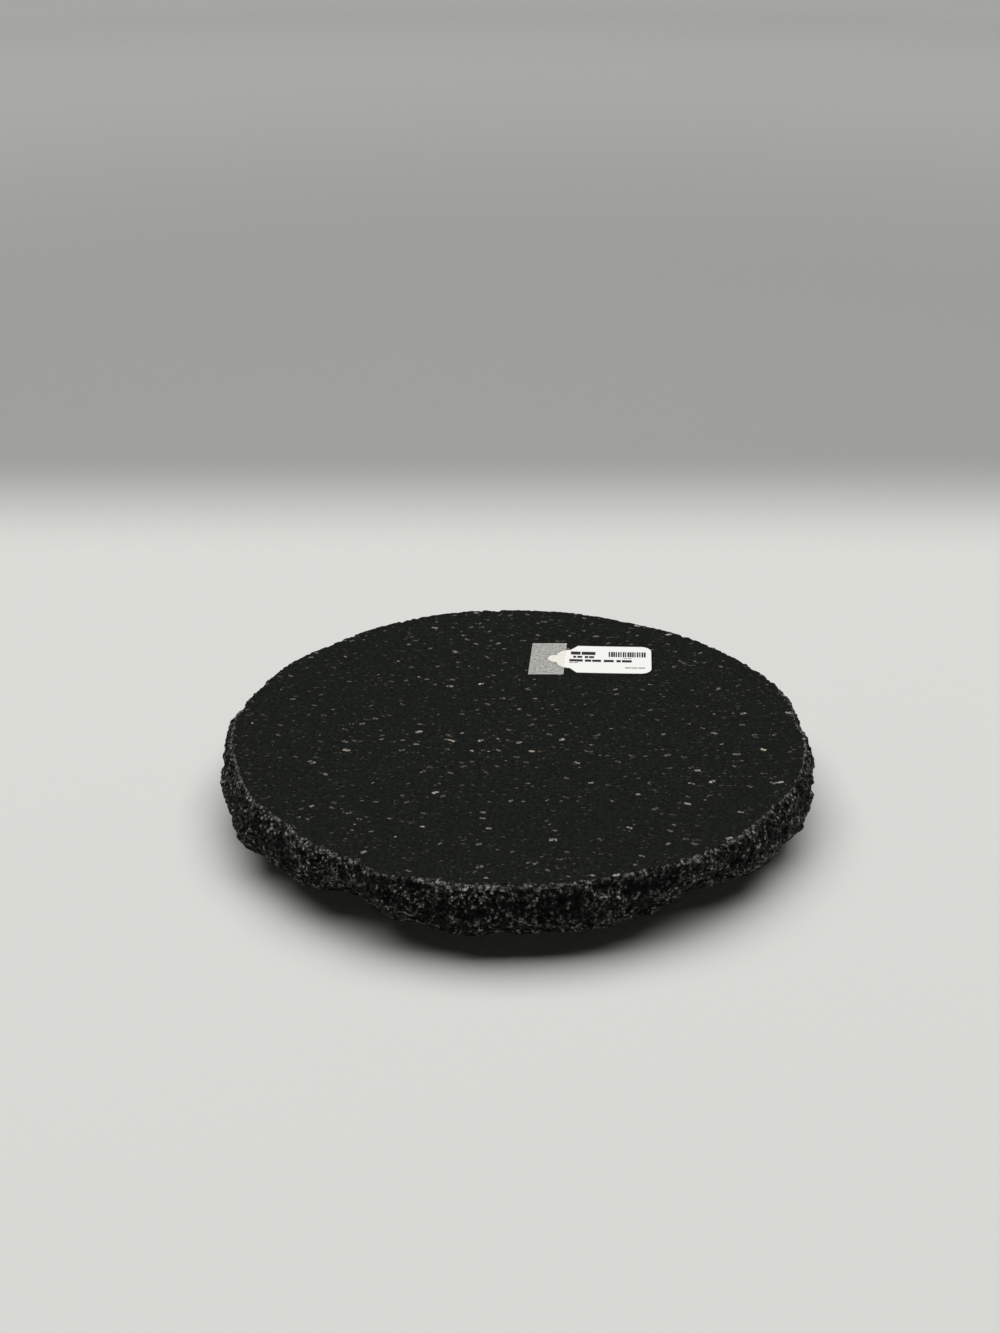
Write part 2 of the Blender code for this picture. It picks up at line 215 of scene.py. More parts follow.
def cut_holes(bm: bmesh.types.BMesh, cutters: Iterable[bmesh.types.BMesh]) -> bmesh.types.BMesh:
    """Cuts closed shapes out of a shape.

    Args:
        bm: The shape to cut, which is freed.
        cutters: The shapes to take away, which are freed.

    Returns:
        The cut shape.
    """
    helpers = []
    for label, shapes in (("uncut", [bm]), ("cutter", list(cutters))):
        joined = bmesh.new()
        for shape in shapes:
            part = bpy.data.meshes.new(label)
            shape.to_mesh(part)
            shape.free()
            joined.from_mesh(part)
            bpy.data.meshes.remove(part)
        mesh = bpy.data.meshes.new(label)
        joined.to_mesh(mesh)
        joined.free()
        helpers.append(bpy.data.objects.new(label, mesh))
        bpy.context.scene.collection.objects.link(helpers[-1])
    uncut, cutter = helpers
    boolean = uncut.modifiers.new("holes", "BOOLEAN")
    boolean.operation = "DIFFERENCE"
    boolean.object = cutter
    bpy.context.view_layer.update()
    made = bmesh.new()
    made.from_object(uncut, bpy.context.evaluated_depsgraph_get())
    for helper in helpers:
        mesh = helper.data
        bpy.data.objects.remove(helper)
        bpy.data.meshes.remove(mesh)
    return made


# ------------------------------------------------------------------- finishes


class Wiring:
    """A material under construction: its tree, its shader and its coordinates."""

    def __init__(self, name: str) -> None:
        """Starts a material with one Principled shader.

        Args:
            name: The material's name.
        """
        self.material = bpy.data.materials.new(name)
        self.material.use_nodes = True
        self.tree = self.material.node_tree
        self.shader = self.tree.nodes["Principled BSDF"]
        self.place = self.add("TexCoord").outputs["Object"]

    def add(self, kind: str, inputs: dict[Any, Any] | None = None, **settings: Any) -> bpy.types.Node:
        """Adds a node to this material."""
        return add_node(self.tree, kind, inputs, **settings)

    def set(self, **values: Any) -> None:
        """Sets or links shader sockets.

        Args:
            values: Socket names, with an underscore for a space, to values or to sockets that feed them.
        """
        for key, value in values.items():
            socket = self.shader.inputs[key.replace("_", " ")]
            if isinstance(value, bpy.types.NodeSocket):
                self.tree.links.new(value, socket)
            else:
                socket.default_value = value

    def math(self, operation: str, first: Any, second: Any = 0.0) -> bpy.types.NodeSocket:
        """Result of a sum on two values or sockets."""
        return self.add("Math", {0: first, 1: second}, operation=operation).outputs[0]

    def blend(self, share: Any, first: Any, second: Any) -> bpy.types.NodeSocket:
        """A colour at a share of the way from the first to the second."""
        return self.add("Mix", {0: share, 6: first, 7: second}, data_type="RGBA").outputs[2]

    def ramp(self, value: Any, low: float, high: float, to_low: float = 0.0,
             to_high: float = 1.0) -> bpy.types.NodeSocket:
        """Maps low..high smoothly to to_low..to_high."""
        inputs = {"Value": value, "From Min": low, "From Max": high, "To Min": to_low, "To Max": to_high}
        return self.add("MapRange", inputs, interpolation_type="SMOOTHSTEP").outputs[0]

    def noise(self, size: float, detail: float = 2.0, roughness: float = 0.5,
              place: Any = None) -> bpy.types.NodeSocket:
        """Soft noise whose blotches are about size across, in metres."""
        inputs = {"Vector": place or self.place, "Scale": 1 / size, "Detail": detail, "Roughness": roughness}
        return self.add("TexNoise", inputs).outputs[0]

    def bump(self, height: Any, depth: float, strength: float = 1.0) -> None:
        """Feeds the shader's normal with a relief of that depth in metres."""
        inputs = {"Height": height, "Distance": depth, "Strength": strength}
        self.set(Normal=self.add("Bump", inputs).outputs[0])


@dataclass(frozen=True)
class FleckLayer:
    """One size of mineral fleck in the honed face, in metres."""

    spacing: float
    share: float
    length: float
    width: float
    strength: float
    seed: float


@dataclass(frozen=True)
class HonedGranite:
    """Black granite, sawn and honed: near black with a low sheen, and sparse pale flecks.

    Flecks lie in three layers, from a few large bright ones to many small faint ones. Each is a small block,
    turned a little from the stone's grain and broken up at its edges.
    """

    body: str = "131513"
    lift: float = 2.0  # how much lighter the mottle's pale patches are
    grey_fleck: str = "b2b0a6"
    warm_fleck: str = "b8ab98"
    warm_from: float = 0.68  # share of the flecks that are grey
    mottle: float = 1.6 * MM
    ragged: float = 0.9 * MM
    push: float = 0.85  # how far a fleck's edge is pushed, as a share of ragged
    lean: float = 0.7
    splinter: float = 1.5 * MM
    faint_power: float = 1.8
    corner_cut: float = 0.85  # how round a fleck's corners are, from 0 for square
    growth: tuple[float, float] = (0.35, 1.1)
    sheen: tuple[float, float] = (0.46, 0.56)
    sheen_size: float = 1.2 * MM
    pore: float = 0.5 * MM
    pore_depth: float = 0.01 * MM
    layers: tuple[FleckLayer, ...] = (
        FleckLayer(10.5 * MM, 0.20, 2.0 * MM, 1.1 * MM, 0.95, 0.0),
        FleckLayer(5.6 * MM, 0.38, 1.6 * MM, 0.75 * MM, 0.44, 31.0),
        FleckLayer(3.0 * MM, 0.50, 1.05 * MM, 0.42 * MM, 0.17, 57.0),
    )

    def flecks(self, wiring: Wiring, place: bpy.types.NodeSocket, layer: FleckLayer) -> tuple[Any, Any]:
        """Draws one layer of flecks, one in each chosen cell, turned and sized at random.

        Args:
            wiring: The material.
            place: Coordinates in metres.
            layer: The layer's sizes.

        Returns:
            The flecks' strength at each place, and a random number for each fleck.
        """
        shift = (layer.seed, layer.seed, 0)
        moved = wiring.add("VectorMath", {0: place, 1: shift}, operation="ADD").outputs[0]
        cells = wiring.add("TexVoronoi", {"Vector": moved, "Scale": 1 / layer.spacing},
                           voronoi_dimensions="2D")
        picks = wiring.add("SeparateColor", {0: cells.outputs["Color"]})
        away = wiring.add("VectorMath", {0: moved, 1: cells.outputs["Position"]}, operation="SUBTRACT")
        turn = wiring.ramp(picks.outputs[0], 0.0, 1.0, -self.lean, self.lean)
        turned_away = wiring.add("VectorRotate", {"Vector": away.outputs[0], "Angle": turn},
                                 rotation_type="Z_AXIS")
        sizes = (1 / layer.length, 1 / layer.width, 0.0)
        shape = wiring.add("VectorMath", {0: turned_away.outputs[0], 1: sizes}, operation="MULTIPLY")
        straight = wiring.add("VectorMath", {0: shape.outputs[0]}, operation="ABSOLUTE").outputs[0]
        sides = wiring.add("SeparateXYZ", {0: straight})
        block = wiring.math("MAXIMUM", sides.outputs[0], sides.outputs[1])
        reach = wiring.add("VectorMath", {0: shape.outputs[0]}, operation="LENGTH").outputs["Value"]
        angular = wiring.math("MAXIMUM", block, wiring.math("MULTIPLY", reach, self.corner_cut))
        grown = wiring.math("DIVIDE", angular, wiring.ramp(picks.outputs[2], 0.0, layer.share, *self.growth))
        inside = wiring.ramp(grown, 0.75, 1.0, 1.0, 0.0)
        chosen = wiring.math("LESS_THAN", picks.outputs[2], layer.share)
        faintness = wiring.math("POWER", picks.outputs[1], self.faint_power)
        shown = wiring.math("MULTIPLY", wiring.math("MULTIPLY", inside, chosen), faintness)
        return wiring.math("MULTIPLY", shown, layer.strength), picks.outputs[0]

    def build(self) -> bpy.types.Material:
        """Makes the material.

        Returns:
            The material.
        """
        wiring = Wiring("honed_black_granite")
        wobble = wiring.add("TexNoise", {"Vector": wiring.place, "Scale": 1 / self.ragged, "Detail": 1.0})
        push = wiring.add("VectorMath", {0: wobble.outputs["Color"], "Scale": self.push * self.ragged},
                          operation="SCALE").outputs[0]
        place = wiring.add("VectorMath", {0: wiring.place, 1: push}, operation="ADD").outputs[0]
        dark = linear(self.body)
        colour = wiring.blend(wiring.ramp(wiring.noise(self.mottle, 3.0), 0.35, 0.7),
                              dark, tuple(c * self.lift for c in dark[:3]) + (1.0,))
        broken = wiring.ramp(wiring.noise(self.splinter, 2.0, 0.6), 0.40, 0.52)
        for layer in self.layers:
            strength, pick = self.flecks(wiring, place, layer)
            strength = wiring.math("MULTIPLY", strength, broken)
            tint = wiring.blend(wiring.math("GREATER_THAN", pick, self.warm_from),
                                linear(self.grey_fleck), linear(self.warm_fleck))
            colour = wiring.blend(strength, colour, tint)
        wiring.set(Base_Color=colour, Specular_IOR_Level=0.035,
                   Roughness=wiring.ramp(wiring.noise(self.sheen_size, 2.0), 0.3, 0.7, *self.sheen))
        wiring.bump(wiring.noise(self.pore, 1.0), self.pore_depth, 0.3)
        return wiring.material


@dataclass(frozen=True)
class FracturedGranite:
    """The same granite, broken by hand: crystal facets that are black or pale grey, and a painted highlight
    along the top edge.

    Coarse crystals give the black and mid-grey patches and fine ones the sparkle. Hollows and the gaps
    between crystals are darkened as painted shade, and the edge where the honed face breaks off is painted
    pale as a highlight.
    """

    dark: str = "020202"
    mid: str = "4d4e49"
    pale: str = "c0c0b7"
    # Colour of the painted highlight along the top edge:
    edge_highlight: str = "a3a39b"
    grain: float = 2.1 * MM
    fine_grain: float = 1.0 * MM
    edge_highlight_patch: float = 3 * MM
    relief: float = 1.4 * MM
    relief_depth: float = 1.8 * MM

    def build(self) -> bpy.types.Material:
        """Makes the material.

        Returns:
            The material.
        """
        wiring = Wiring("fractured_black_granite")
        tones, edges = [], []
        for size in (self.grain, self.fine_grain):
            warped = wiring.add("TexNoise", {"Vector": wiring.place, "Scale": 0.8 / size, "Detail": 2.0})
            push = wiring.add("VectorMath", {0: warped.outputs["Color"], "Scale": 1.3 * size},
                              operation="SCALE").outputs[0]
            moved = wiring.add("VectorMath", {0: wiring.place, 1: push}, operation="ADD").outputs[0]
            cells = wiring.add("TexVoronoi", {"Vector": moved, "Scale": 1 / size})
            tones.append(wiring.add("SeparateColor", {0: cells.outputs["Color"]}).outputs[0])
            edges.append(cells.outputs["Distance"])
        coarse, fine = tones
        colour = wiring.blend(wiring.ramp(coarse, 0.5, 0.74), linear(self.dark), linear(self.mid))
        sparkle = wiring.math("MULTIPLY", wiring.ramp(fine, 0.74, 0.86),
                              wiring.ramp(coarse, 0.1, 0.7, 0.15, 0.8))
        colour = wiring.blend(sparkle, colour, linear(self.pale))
        # Painted highlight: a pale, patchy band along the top edge, where the light from above catches it.
        edge_highlight_mask = wiring.add("Attribute", attribute_name="edge_highlight").outputs["Fac"]
        patchy = wiring.math("MULTIPLY", edge_highlight_mask, wiring.ramp(wiring.noise(self.edge_highlight_patch, 3.0, 0.7),
                                                           0.40, 0.60, 0.0, 0.9))
        colour = wiring.blend(wiring.math("MULTIPLY", patchy, wiring.ramp(fine, 0.1, 0.6, 0.25, 1.0)),
                              colour, linear(self.edge_highlight))
        # Painted shade: the rim goes darker the deeper a place lies in the rim's hollows.
        hollow_shade = wiring.add("Attribute", attribute_name="hollow_shade").outputs["Fac"]
        colour = wiring.blend(wiring.math("MULTIPLY", hollow_shade, 0.85), colour, linear(self.dark))
        relief = wiring.math("ADD", wiring.math("MULTIPLY", edges[0], -0.9),
                             wiring.noise(self.relief, 4.0, 0.75))
        # Painted shade: where the relief is low, in pits and between crystals, the colour goes dark.
        colour = wiring.blend(wiring.ramp(relief, -0.15, 0.2, 0.9, 0.0), colour, linear(self.dark))
        wiring.set(Base_Color=colour, Specular_IOR_Level=0.1,
                   Roughness=wiring.ramp(fine, 0.0, 1.0, 0.8, 0.45))
        wiring.bump(relief, self.relief_depth)
        return wiring.material


@dataclass(frozen=True)
class TurnedAluminium:
    """Cast aluminium, turned on a lathe: fine rings of tool marks around the spin axis."""

    low: str = "b9babc"
    high: str = "c9cacb"
    mark_pitch: float = math.pi * MM  # much coarser than real tool marks, so that they show
    mark_depth: float = 0.02 * MM
    cloud: float = 9 * MM
    wave_radians: ClassVar[float] = 20.0  # a Wave texture's phase in one unit, at a scale of 1

    def build(self) -> bpy.types.Material:
        """Makes the material.

        Returns:
            The material.
        """
        wiring = Wiring("turned_aluminium")
        marks = {"Vector": wiring.place, "Scale": math.tau / self.mark_pitch / self.wave_radians,
                 "Distortion": 0.6, "Detail": 2.0, "Detail Scale": 2.0}
        waves = wiring.add("TexWave", marks, wave_type="RINGS", rings_direction="Z").outputs["Fac"]
        cloud = wiring.noise(self.cloud, 4.0)
        wiring.set(Base_Color=wiring.blend(cloud, linear(self.low), linear(self.high)), Metallic=1.0,
                   Roughness=wiring.ramp(cloud, 0.3, 0.7, 0.3, 0.42))
        wiring.bump(waves, self.mark_depth, 0.5)
        return wiring.material


@dataclass(frozen=True)
class PlainFinish:
    """A moulded, plated or polished finish with a soft mottle and a fine relief."""

    name: str
    low: str
    high: str
    roughness: tuple[float, float]
    metallic: float = 0.0
    mottle: float = 4 * MM
    relief: float = 0.6 * MM
    relief_depth: float = 0.02 * MM

    def build(self) -> bpy.types.Material:
        """Makes the material.

        Returns:
            The material.
        """
        wiring = Wiring(self.name)
        cloud = wiring.noise(self.mottle, 4.0, 0.6)
        wiring.set(Base_Color=wiring.blend(cloud, linear(self.low), linear(self.high)),
                   Metallic=self.metallic, Roughness=wiring.ramp(cloud, 0.3, 0.7, *self.roughness))
        wiring.bump(wiring.noise(self.relief, 3.0), self.relief_depth, 0.6)
        return wiring.material


# Zinc plating: grey with a faint cloudiness, duller than the balls.
ZINC = PlainFinish("zinc_plated_steel", "8e9196", "b4b6b8", (0.28, 0.42), 1.0)
# Hardened and polished ball steel: close to a mirror.
BALL_STEEL = PlainFinish("polished_bearing_steel", "c4c5c8", "d2d2d4", (0.08, 0.14), 1.0)
# Natural nylon: milky, waxy, slightly yellow.
NYLON = PlainFinish("natural_nylon", "cfcabb", "ddd9cc", (0.4, 0.52))
# Moulded rubber: soft black that picks up dust.
RUBBER = PlainFinish("moulded_rubber", "151515", "262625", (0.7, 0.85), relief_depth=0.04 * MM)
# Coated card: white with the faintest fibre.
CARD = PlainFinish("coated_card", "f3f2ee", "f8f7f3", (0.5, 0.6), mottle=1.5 * MM, relief_depth=0.01 * MM)
# Printing ink on the card: soft black.
INK = PlainFinish("printed_ink", "0b0a0a", "161514", (0.6, 0.7), mottle=1 * MM, relief_depth=0.005 * MM)


@dataclass(frozen=True)
class FrostedFilm:
    """Matt acetate office tape: a mottled milky film on the stone, clear and creamy where it wets the card.

    Its cut ends are whiter, because the film is torn there.
    """

    low: str = "cfd0c9"
    high: str = "e6e7e0"
    cream: str = "efe9d6"
    cover: float = 0.385
    patchiness: float = 0.2
    cover_card: float = 0.14
    cover_torn: float = 0.85
    mottle: float = 1.5 * MM
    relief: float = 0.8 * MM
    relief_depth: float = 0.02 * MM

    def build(self) -> bpy.types.Material:
        """Makes the material.

        Returns:
            The material.
        """
        wiring = Wiring("frosted_acetate_film")
        cloud = wiring.noise(self.mottle, 4.0, 0.75)
        card = wiring.add("Attribute", attribute_name="on_card").outputs["Fac"]
        torn = wiring.add("Attribute", attribute_name="torn").outputs["Fac"]
        milky = wiring.ramp(cloud, 0.32, 0.68, self.cover - self.patchiness, self.cover + self.patchiness)
        on_stone = wiring.math("ADD", milky, wiring.math("MULTIPLY", torn, self.cover_torn - self.cover))
        cover = wiring.add("Mix", {0: card, 2: on_stone, 3: self.cover_card}).outputs[0]
        wiring.set(Base_Color=wiring.blend(card, wiring.blend(cloud, linear(self.low), linear(self.high)),
                                           linear(self.cream)),
                   Alpha=cover, Roughness=wiring.ramp(cloud, 0.3, 0.7, 0.42, 0.6), Specular_IOR_Level=0.3)
        wiring.bump(wiring.noise(self.relief, 3.0), self.relief_depth, 0.6)
        return wiring.material


@dataclass(frozen=True)
class FloorBoard:
    """Matt board of the floor: white around the stone, with painted shade from a little way past it where the
    light falls off, painted light further out against the lamp's falloff, and grey on the wall.

    It has no sheen, so it shows only the soft shadow under the stone.
    """

    near: str = "d8d9d4"
    # Grey from a little way past the stone, as painted shade where the light falls off:
    shade_behind: str = "9c9d99"
    # Paler further out, as painted light that makes up for the lamp's falloff:
    far: str = "b6b7b3"
    wall: str = "8a8b88"
    shade_start: float = 320 * MM
    shade_end: float = 530 * MM
    painted_light_start: float = 1.0
    painted_light_end: float = 2.6
    wall_start: float = 3.0
    wall_end: float = 3.4

    def build(self) -> bpy.types.Material:
        """Makes the material.

        Returns:
            The material.
        """
        wiring = Wiring("matt_white_board")
        sides = wiring.add("SeparateXYZ", {0: wiring.place})
        level = wiring.add("CombineXYZ", {0: sides.outputs[0], 1: sides.outputs[1]}).outputs[0]
        reach = wiring.add("VectorMath", {0: level}, operation="LENGTH").outputs["Value"]
        # Painted shade: greyer from a little way past the stone.
        colour = wiring.blend(wiring.ramp(sides.outputs[1], self.shade_start, self.shade_end),
                              linear(self.near), linear(self.shade_behind))
        # Painted light: paler again further out, where the lamp gives less light.
        colour = wiring.blend(wiring.ramp(reach, self.painted_light_start, self.painted_light_end), colour, linear(self.far))
        colour = wiring.blend(wiring.ramp(reach, self.wall_start, self.wall_end), colour, linear(self.wall))
        wiring.set(Base_Color=colour, Roughness=0.9, Specular_IOR_Level=0.1)
        return wiring.material


# ---------------------------------------------------------------------- stone


@dataclass
class StoneSlab:
    """The round slab: flat above and below, broken by hand all round.

    Its rim follows the frame's, with lumps, facets and crystals added to it. The leans are the directions, in
    degrees above level, in which those stand out at the top and at the foot of the rim.
    """

    steps: int = 1480
    rim_levels: int = 46
    lump: float = 12 * MM
    lump_height: float = 1.7 * MM
    facet: float = 5.0 * MM
    facet_height: float = 2.8 * MM
    crystal: float = 2.3 * MM
    crystal_height: float = 1.3 * MM
    chip: float = 8 * MM
    chip_depth: float = 2.6 * MM
    nick_depth: float = 1.3 * MM
    # How far the painted highlight reaches down from the top edge:
    edge_highlight_depth: float = 2.2 * MM
    # The roughness over which the rim's hollows take painted shade:
    hollow_shade_from: float = 0.4 * MM
    hollow_shade_to: float = -1.6 * MM
    edge_share: float = 0.09
    foot_share: float = 0.94
    level_power: float = 1.15
    top_lean: float = 50.0
    foot_lean: float = -35.0
    brow_slope: float = 0.5
    inset: float = 0.2 * MM
    hole_clearance: float = 0.3 * MM
    hole_steps: int = 32
    anchors: tuple[str, ...] = tuple(f"nylon_anchor_{i}" for i in range(1, 5))
    low: Vector = field(default_factory=lambda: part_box("stone_slab")[0])
    high: Vector = field(default_factory=lambda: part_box("stone_slab")[1])

    def __post_init__(self) -> None:
        """Keeps the frame's slab as a surface to measure the rim on."""
        bm = bmesh.new()
        bm.from_mesh(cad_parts["stone_slab"].data)
        bmesh.ops.remove_doubles(bm, verts=bm.verts, dist=MERGE)
        self.surface = BVHTree.FromBMesh(bm)
        bm.free()
        self.thickness = self.high.z - self.low.z
        self.outside = 2 * self.high.x

    def frame_radius(self, outward: Vector, height: float) -> float:
        """Measures the frame's rim.

        Args:
            outward: Level direction from the axis.
            height: Height above the floor.

        Returns:
            The rim's distance from the axis.
        """
        start = outward * self.outside + Vector((0, 0, height))
        hit = self.surface.ray_cast(start, -outward)[0]
        return math.hypot(hit.x, hit.y)

    def roughness_at(self, point: Vector) -> float:
        """Finds how rough the broken surface is at a place.

        Args:
            point: A place on the frame's rim.

        Returns:
            How far the surface stands out there, in metres.
        """
        lumps = noise.fractal(point / self.lump, 0.9, 2.1, 3)
        facets = noise.voronoi(point / self.facet)[0]
        crystals = noise.voronoi(point / self.crystal)[0]
        return (self.lump_height * lumps
                + self.facet_height * (0.5 - facets[0] - 0.5 * (facets[1] - facets[0]))
                + self.crystal_height * (0.45 - crystals[0]))

    def edge_chip(self, outward: Vector) -> float:
        """Finds how much of the top edge is chipped away.

        Args:
            outward: Level direction from the axis.

        Returns:
            How far the edge is chipped back there, in metres.
        """
        place = outward * self.high.x
        bite = noise.fractal(place / self.chip, 0.7, 2.2, 3)
        nick = noise.voronoi(place / self.crystal)[0][0]
        return self.chip_depth * max(0.0, bite) + self.nick_depth * nick

    def rim_point(self, outward: Vector, depth: float) -> tuple[Vector, float]:
        """Finds a point of the broken rim.

        Args:
            outward: Level direction from the axis.
            depth: Share of the thickness below the top.

        Returns:
            The point, and how deep it lies in the rim's hollows, from 0 to 1, which sets the painted shade
            there.
        """
        height = self.high.z - depth * self.thickness
        inner = min(max(height, self.low.z + self.inset), self.high.z - self.inset)
        base = outward * self.frame_radius(outward, inner) + Vector((0, 0, height))
        rough = self.roughness_at(base)
        lean = math.radians(mix(self.top_lean, self.foot_lean, depth))
        below_edge = smoothstep(0.0, self.edge_share, depth)
        above_foot = 1 - smoothstep(self.foot_share, 1.0, depth)
        chip = self.edge_chip(outward)
        out = outward * (rough * math.cos(lean) * below_edge - chip * (1 - below_edge))
        up = Vector((0, 0, math.sin(lean) * rough * below_edge * above_foot))
        point = base + out + up
        edge = self.frame_radius(outward, self.high.z - self.inset) - chip
        brow = self.high.z - self.brow_slope * max(0.0, math.hypot(point.x, point.y) - edge)
        point.z = min(max(point.z, self.low.z), brow)
        return point, smoothstep(self.hollow_shade_from, self.hollow_shade_to, rough) * below_edge

    def build(self) -> bmesh.types.BMesh:
        """Shapes the rim level by level, then closes the top and the underside.

        Returns:
            The slab, with its rim's faces in the second material.
        """
        bm = bmesh.new()
        edge_highlight = bm.verts.layers.float.new("edge_highlight")
        hollow_shade = bm.verts.layers.float.new("hollow_shade")
        bmesh.ops.create_circle(bm, segments=self.steps, radius=1.0)
        ring = list(bm.edges)
        for level in range(self.rim_levels + 1):
            depth = (level / self.rim_levels) ** self.level_power
            if level:
                made = bmesh.ops.extrude_edge_only(bm, edges=ring)["geom"]
                ring = [item for item in made if isinstance(item, bmesh.types.BMEdge) and item.is_boundary]
                verts = {item for item in made if isinstance(item, bmesh.types.BMVert)}
            else:
                verts = set(bm.verts)
                top_ring = list(ring)
            for vert in verts:
                outward = Vector((vert.co.x, vert.co.y, 0)).normalized()
                # The second value says how deep a place lies in the rim's hollows, for painted shade.
                vert.co, vert[hollow_shade] = self.rim_point(outward, depth)
                # Marks the band under the top edge for the painted highlight.
                vert[edge_highlight] = 1 - smoothstep(0.3, 1.0, depth * self.thickness / self.edge_highlight_depth)
        for face in bm.faces:
            face.material_index = 1
        holes = [self.anchor_hole(bm, name) for name in self.anchors]
        bmesh.ops.triangle_fill(bm, edges=ring + [edge for hole in holes for edge in hole], use_beauty=True)
        bmesh.ops.triangle_fill(bm, edges=top_ring, use_beauty=True)
        bmesh.ops.recalc_face_normals(bm, faces=bm.faces)
        return bm

    def anchor_hole(self, bm: bmesh.types.BMesh, anchor: str) -> list[bmesh.types.BMEdge]:
        """Makes the blind hole around an anchor.

        Args:
            bm: The slab so far.
            anchor: The frame node that sits in the hole.

        Returns:
            The edges of the hole's mouth.
        """
        low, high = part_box(anchor)
        middle = (low + high) / 2
        radius = (high.x - low.x) / 2 + self.hole_clearance
        place = Matrix.Translation((middle.x, middle.y, self.low.z))
        circle = bmesh.ops.create_circle(bm, segments=self.hole_steps, radius=radius, matrix=place)["verts"]
        mouth = list({edge for vert in circle for edge in vert.link_edges})
        made = bmesh.ops.extrude_edge_only(bm, edges=mouth)["geom"]
        deep = [item for item in made if isinstance(item, bmesh.types.BMVert)]
        bmesh.ops.translate(bm, verts=deep, vec=(0, 0, high.z + self.hole_clearance - self.low.z))
        floor = list({edge for vert in deep for edge in vert.link_edges
                      if all(end in deep for end in edge.verts)})
        bmesh.ops.contextual_create(bm, geom=floor)
        return mouth

    def dress(self) -> bpy.types.Object:
        """Builds the slab with its two finishes."""
        return finish_piece("stone_slab_broken_rim", self.build(), Body.TURNTABLE, ["stone_slab"],
                            [HonedGranite().build(), FracturedGranite().build()], sharp=40.0)


# ------------------------------------------------------------------ tag, tape


def flat_place(node: str, turn: float) -> tuple[Matrix, Vector]:
    """Finds where a flat node lies that was turned about Z.

    Args:
        node: The frame node.
        turn: Its turn in degrees.

    Returns:
        A matrix with +X along the node and its origin in the middle of its -X end, at its lowest height,
        and the node's sizes along that matrix's axes.
    """
    spin = Matrix.Rotation(math.radians(turn), 4, "Z")
    points = [spin.inverted() @ vert.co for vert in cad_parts[node].data.vertices]
    low = Vector(min(point[axis] for point in points) for axis in range(3))
    high = Vector(max(point[axis] for point in points) for axis in range(3))
    return spin @ Matrix.Translation((low.x, (low.y + high.y) / 2, low.z)), high - low


